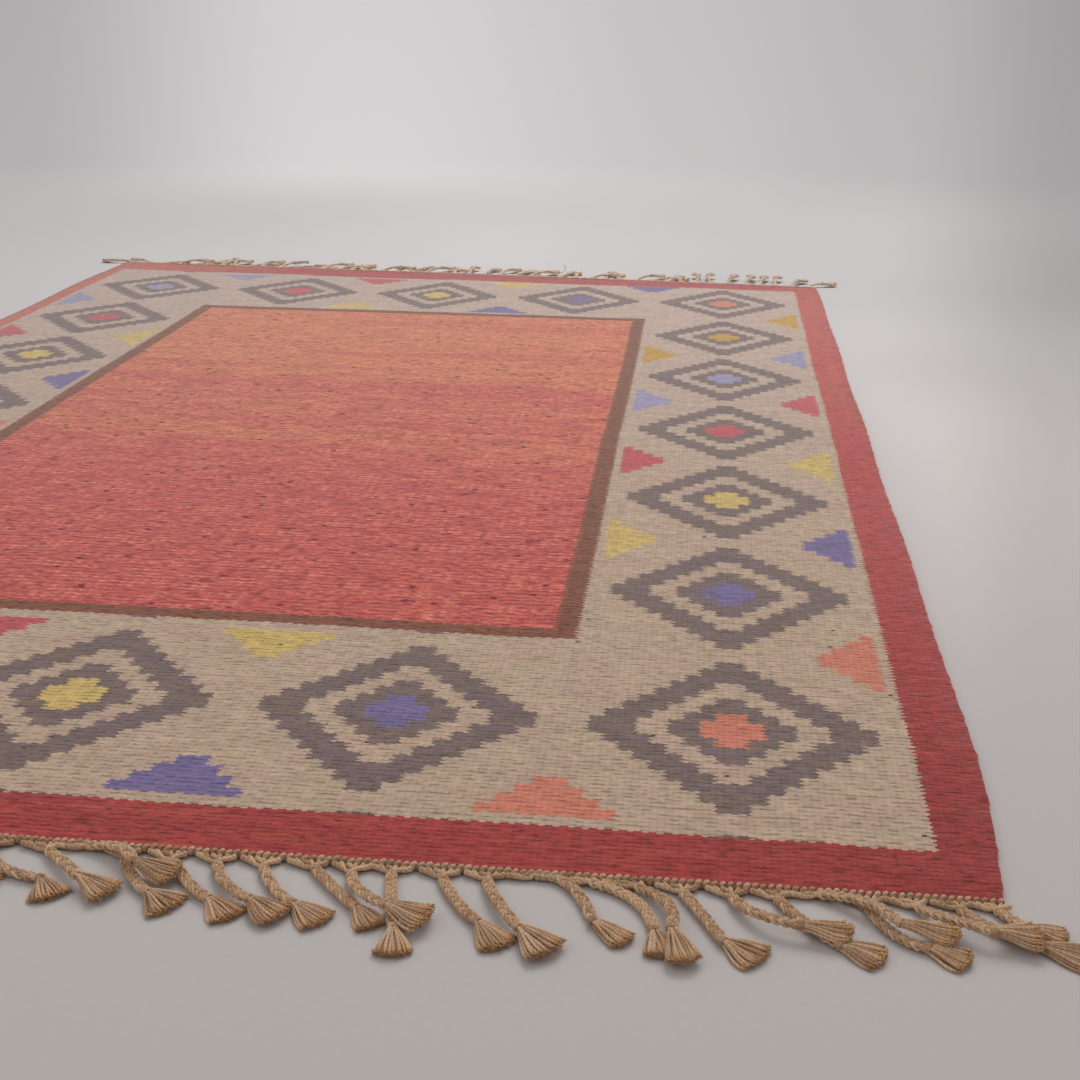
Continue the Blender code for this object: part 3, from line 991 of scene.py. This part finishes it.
def lock_tassel(strands, fluff, lock, hairs, chance):
    """The loose plies beyond the tie, in layers that fan out and settle."""
    out = lock.out()
    side = np.array((out[1], -out[0]))
    top = BRAID_MIDDLE + lock.lift * MM
    share = np.linspace(0.0, 1.0, 9)
    for index in range(PLIES):
        place = (index + 0.5) / PLIES * 2.0 - 1.0
        place = place + chance.uniform(-0.05, 0.05)
        layer = (index * 7 % LAYERS) / (LAYERS - 1.0)
        reach = lock.tassel * (1.0 - 0.16 * place * place) * chance.uniform(0.96, 1.02)
        curl = chance.uniform(-1.3, 1.3) * MM
        fan = smooth(share * 0.92 + 0.04) ** 0.85
        sway = NECK_HALF * place + (lock.width / 2.0 - NECK_HALF) * place * fan
        sway = sway + curl * np.sin(math.pi * share) * 0.8
        swell = np.sin(math.pi * np.clip(share * 1.25, 0.0, 1.0)) * 1.1 * MM
        neck = top + (layer - 0.5) * NECK_HEIGHT * (1.0 - share)
        rest = 1.5 * MM + lock.lift * MM * 0.75
        rest = rest + layer * TASSEL_HEIGHT * (1.0 - 0.55 * abs(place))
        height = neck + (rest - neck) * smooth(share * 1.15) + swell * layer
        line = np.zeros((len(share), 3))
        line[:, :2] = lock.tie + out * (share * reach)[:, None] + side * sway[:, None]
        line[:, 2] = height + chance.uniform(-0.25, 0.25) * MM
        thick = 1.12 if index % 3 else 0.72
        radius = (0.85 + 0.40 * share) * MM * thick * chance.uniform(0.9, 1.1)
        radius[-2:] *= (0.9, 0.45)
        strands.add(line, radius, sides=5, tip=share ** 3)
        tail = line[-1]
        for _ in range(hairs):
            spread = chance.uniform(-4.2, 4.2)
            stray = np.array((*(out * chance.uniform(2.0, 6.0) + side * spread), 0.0)) * MM
            stray[2] = chance.uniform(-1.6, 2.8) * MM
            hair = tail - stray * 0.5 + np.linspace(0.0, 1.0, 3)[:, None] * stray
            hair[:, 2] = np.maximum(hair[:, 2], 0.45 * MM)
            fluff.add(hair, np.array((0.24, 0.42, 0.14)) * MM, sides=3, tip=1.0)


def stray_yarn(strands):
    """One thin yarn that lies on the floor beyond the back fringe."""
    marks = np.array(STRAY_YARN, float) * MM
    share = np.linspace(0.0, len(marks) - 1.0, 60)
    line = np.zeros((len(share), 3))
    for axis in range(2):
        line[:, axis] = np.interp(share, np.arange(len(marks)), marks[:, axis])
    soft = np.array((0.25, 0.5, 0.25))
    for _ in range(8):
        for axis in range(2):
            line[1:-1, axis] = np.convolve(line[:, axis], soft, "valid")
    line[:, 1] += end_y(1, line[:, 0])
    line[:, 2] = 1.2 * MM + 3.0 * MM * np.sin(share * 2.1) ** 2
    strands.add(line, YARN_RADIUS, sides=5)


def lock_rows(end):
    """Every lock's row of numbers at one end, in millimetres from the rug's middle."""
    if end < 0:
        shifted = []
        for root, bend_x, bend_out, tie_x, *rest in FRONT_LOCKS:
            moved = (root - FRONT_SHIFT, bend_x - FRONT_SHIFT, bend_out, tie_x - FRONT_SHIFT)
            shifted.append(moved + tuple(rest))
        return tuple(shifted) + FRONT_LOCKS
    rows = []
    for index in range(BACK_LOCK_COUNT):
        root = (index - (BACK_LOCK_COUNT - 1) / 2.0) * BACK_PITCH
        own = BACK_LOCKS[index * 3 % len(BACK_LOCKS)]
        own = BACK_OWN.get(index, own)
        rows.append((root, root + own[0], own[1], root + own[2]) + own[3:])
    return tuple(rows)


def edge_knots(strands, end, chance):
    """Slanted knots side by side along one end of the cloth."""
    half = float(side_x(1, end * HALF_LENGTH)) - KNOT_INSET
    count = int(2.0 * half / RIB) + 1
    angle = np.linspace(0.0, TURN, 13)
    axis = np.array((math.cos(KNOT_SLANT), math.sin(KNOT_SLANT) * end, 0.0))
    core_x = np.linspace(-half, half, 160)
    core = np.zeros((len(core_x), 3))
    core[:, 0] = core_x
    core[:, 1] = end_y(end, core_x) - end * 0.3 * MM
    core[:, 2] = KNOT_CORE_HEIGHT
    # The core is painted darker, as shade in the gaps between the knots
    strands.add(core, KNOT_CORE, sides=8, tip=CORE_SHADE)
    for index in range(count):
        x = -half + 2.0 * half * index / (count - 1)
        y = end_y(end, x) - end * 0.7 * MM + chance.uniform(-0.8, 0.8) * MM
        wide = KNOT_WIDTH * chance.uniform(0.93, 1.07)
        tall = KNOT_HEIGHT * chance.uniform(0.80, 1.15)
        line = np.zeros((len(angle), 3))
        line[:, 0] = x - math.sin(KNOT_SLANT) * end * wide * np.cos(angle)
        line[:, 1] = y + math.cos(KNOT_SLANT) * wide * np.cos(angle)
        line[:, 2] = KNOT_MIDDLE + tall * np.sin(angle)
        thick = KNOT_RADIUS * chance.uniform(0.86, 1.1)
        strands.add(line, thick, sides=6, reference=axis, tip=KNOT_SHADE)


def make_fringe(end, word, material):
    chance = np.random.default_rng(5 if end < 0 else 8)
    knots = Strands()
    braids = Strands()
    tassels = Strands()
    fluff = Strands()
    edge_knots(knots, end, chance)
    if end > 0:
        stray_yarn(knots)
    for row in lock_rows(end):
        root, bend_x, bend_out, tie_x, tie_out, turn, tassel, width, lift = row
        lock = Lock(
            end, root * MM, (bend_x * MM, bend_out * MM), (tie_x * MM, tie_out * MM),
            turn, tassel * MM, width * MM, lift,
        )
        lock_cords(braids, lock)
        lock_tie(knots, lock)
        hairs = BACK_HAIRS if end > 0 else FRONT_HAIRS if root > 0 else HIDDEN_HAIRS
        lock_tassel(tassels, fluff, lock, hairs, chance)
    parts = ((knots, "knots"), (braids, "braids"), (tassels, "tassels"), (fluff, "fluff"))
    for strands, part in parts:
        piece = strands.piece(word + "_" + part, material)
        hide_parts("fringe_" + word)


# The stage

# The floor reaches far beyond the view and ends in a low pale rim. Far out the floor glows as
# painted light, and the rim's top glows as bright as the light all round
FLOOR_HALF = 60.0
FLOOR_RIM = 12.0
STUDIO_LIGHT = 0.42
STUDIO_HUE = (1.0, 0.985, 0.98)
# The backdrop is painted light: the floor's glow lies in wedges, round this place and heading
BACKDROP_X = 0.55
BACKDROP_Y = -2.24
HEADING_X = -0.103
HEADING_Y = 0.995
# How bright the backdrop's painted glow and the floor near the rug are, and between what distances
# from the rug's middle the floor turns into the glowing backdrop
BACKDROP_TONE = 0.430
FLOOR_TONE = 0.638
FLOOR_FADE = (2.1, 3.8)
# The floor's tints, one a rosy painted bounce of light from the red border, and the hue of the
# backdrop's painted glow
FLOOR_TINT = (1.0, 0.952, 0.932, 1.0)
FLOOR_TINT_BOUNCE = (1.0, 0.932, 0.915, 1.0)
FLOOR_TINT_BACK = (1.0, 0.972, 0.978, 1.0)
FLOOR_TINT_FRONT = (1.0, 0.932, 0.896, 1.0)
BACKDROP_HUE = (1.0, 0.962, 0.972, 1.0)

# Each light's name, place, target, size, power and colour
LIGHTS = (
    ("softbox", (0.95, 2.0, 3.0), (0.1, 0.1, 0.0), (2.8, 2.4), 78.0, (1.0, 0.978, 0.962)),
    ("fill", (-2.4, -1.8, 2.6), (0.0, 0.0, 0.0), (2.4, 2.4), 9.0, (0.96, 0.98, 1.0)),
)


def floor_material():
    g = Graph("Floor with painted light")
    place = g.object_place()
    x, y, height = g.split(place)
    cloud = g.noise(place, 0.9, 1.0)
    grain = g.noise(place, 160.0, 2.0)
    away = g.math("POWER", x * x + y * y, 0.5)
    near = 1.0 - g.rise(away, *FLOOR_FADE)
    from_x = x - BACKDROP_X
    from_y = y - BACKDROP_Y
    forward = g.higher(from_y * HEADING_Y + from_x * HEADING_X, 0.6)
    ahead = g.rise(forward, 1.2, 2.2)
    aside = (from_x * HEADING_Y - from_y * HEADING_X) / forward
    # Painted light: the backdrop's glow, in wedges of brightness by direction from this place, and
    # stronger nearer to it
    backdrop = g.rise(aside, -0.34, -0.13) * 0.225 - g.rise(aside, -0.10, 0.10) * 0.105
    backdrop = backdrop - g.rise(aside, 0.08, 0.22) * 0.065 - g.rise(aside, 0.21, 0.34) * 0.13
    backdrop = BACKDROP_TONE + backdrop * ahead + (1.0 - ahead) * 0.08
    backdrop = backdrop + g.math("DIVIDE", 0.15, g.higher(forward, 3.0))
    # Painted shade in the far right corner and behind the rug's right corner, painted light beside
    # its right side, and a rosy painted bounce of light from the red border
    corner = g.rise(aside, 0.21, 0.35) * g.rise(y, -0.5, 0.9) * ahead
    rosy = g.rise(x, 0.1, 0.9) * g.rise(y, 0.4, -0.6)
    behind = g.rise(aside, -0.08, 0.15) * g.rise(y, 0.55, 1.3)
    beside = g.rise(x, 0.72, 0.9) * g.rise(aside, 0.35, 0.26)
    beside = beside * g.rise(y, -1.15, -0.6) * g.rise(y, 0.6, 0.0)
    near_tone = FLOOR_TONE - corner * 0.17 - rosy * 0.01 - behind * 0.08 + beside * 0.095
    near_tone = near_tone + (cloud - 0.5) * 0.04 + (grain - 0.5) * 0.03
    tint = g.blend(rosy, FLOOR_TINT, FLOOR_TINT_BOUNCE)
    tint = g.blend(g.rise(y, -0.4, 1.6), tint, FLOOR_TINT_BACK)
    tint = g.blend(g.rise(y, -1.1, -1.6), tint, FLOOR_TINT_FRONT)
    colour = g.scaled(tint, near_tone * near)
    # Painted light: the floor glows far out, and the rim's top as bright as the world's light
    glow = backdrop * (1.0 - near * g.math("POWER", near, 0.25))
    top = g.rise(height, 1.0, 0.95 * FLOOR_RIM)
    glow = glow * (1.0 - top) + top * STUDIO_LIGHT
    hue = g.blend(top, BACKDROP_HUE, (*STUDIO_HUE, 1.0))
    g.put(g.shader, "Emission Color", hue)
    g.put(g.shader, "Emission Strength", glow)
    g.bump(grain * 0.00004, 0.4)
    return g.surface(colour, Roughness=1.0, Specular_IOR_Level=0.0)


def make_floor():
    around = ((-1, -1), (1, -1), (1, 1), (-1, 1))
    corners = [(FLOOR_HALF * x, FLOOR_HALF * y, 0.0) for x, y in around]
    corners += [(FLOOR_HALF * x, FLOOR_HALF * y, FLOOR_RIM) for x, y in around]
    sides = [(i, (i + 1) % 4, (i + 1) % 4 + 4, i + 4) for i in range(4)]
    mesh = bpy.data.meshes.new("floor")
    mesh.from_pydata(corners, [], [(0, 1, 2, 3)] + sides)
    mesh.materials.append(floor_material())
    floor = bpy.data.objects.new("floor", mesh)
    bpy.context.scene.collection.objects.link(floor)


def area_light(name, place, target, size, power, colour):
    data = bpy.data.lights.new(name, "AREA")
    data.shape = "RECTANGLE"
    data.size, data.size_y = size
    data.energy = power
    data.color = colour
    light = bpy.data.objects.new(name, data)
    light.location = place
    aim = Vector(target) - Vector(place)
    light.rotation_mode = "QUATERNION"
    light.rotation_quaternion = aim.to_track_quat("-Z", "Y")
    bpy.context.scene.collection.objects.link(light)


def make_lights():
    world = bpy.data.worlds.new("studio")
    world.use_nodes = True
    background = world.node_tree.nodes["Background"]
    background.inputs["Color"].default_value = (*STUDIO_HUE, 1.0)
    background.inputs["Strength"].default_value = STUDIO_LIGHT
    bpy.context.scene.world = world
    for light in LIGHTS:
        area_light(*light)


def main():
    bpy.context.scene.view_settings.view_transform = "Standard"
    make_camera()
    make_cloth(weave_material())
    make_fringe(-1, "front", cord_material("Warp cord", CORD, CORD_PALE))
    make_fringe(1, "back", cord_material("Pale warp cord", BACK_CORD, BACK_CORD_PALE))
    make_floor()
    make_lights()


main()
